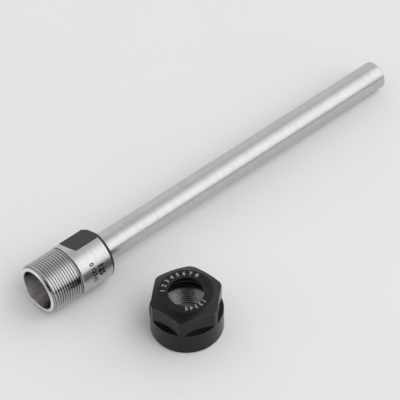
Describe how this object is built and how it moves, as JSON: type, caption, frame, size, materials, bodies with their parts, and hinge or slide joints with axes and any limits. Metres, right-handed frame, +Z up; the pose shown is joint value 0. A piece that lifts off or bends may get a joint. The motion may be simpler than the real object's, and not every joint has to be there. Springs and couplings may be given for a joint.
{
  "type": "straight shank collet chuck",
  "caption": "Long straight shank collet holder with a threaded taper nose and wrench flats, lying beside its hexagonal clamping nut.",
  "frame": {"origin": "middle of the bounding box of both pieces, on the floor", "axes": "+X along the lying chuck body from the mouth of its socket to its tail, +Z up"},
  "size_m": [0.1208, 0.046, 0.0146],
  "materials": {
    "ground_steel": "hardened steel, ground bright, turned thread",
    "black_steel": "steel, black oxide, satin"
  },
  "bodies": {
    "root": {"chuck_body": "ground_steel", "clamping_nut": "black_steel"}
  },
  "joints": []
}
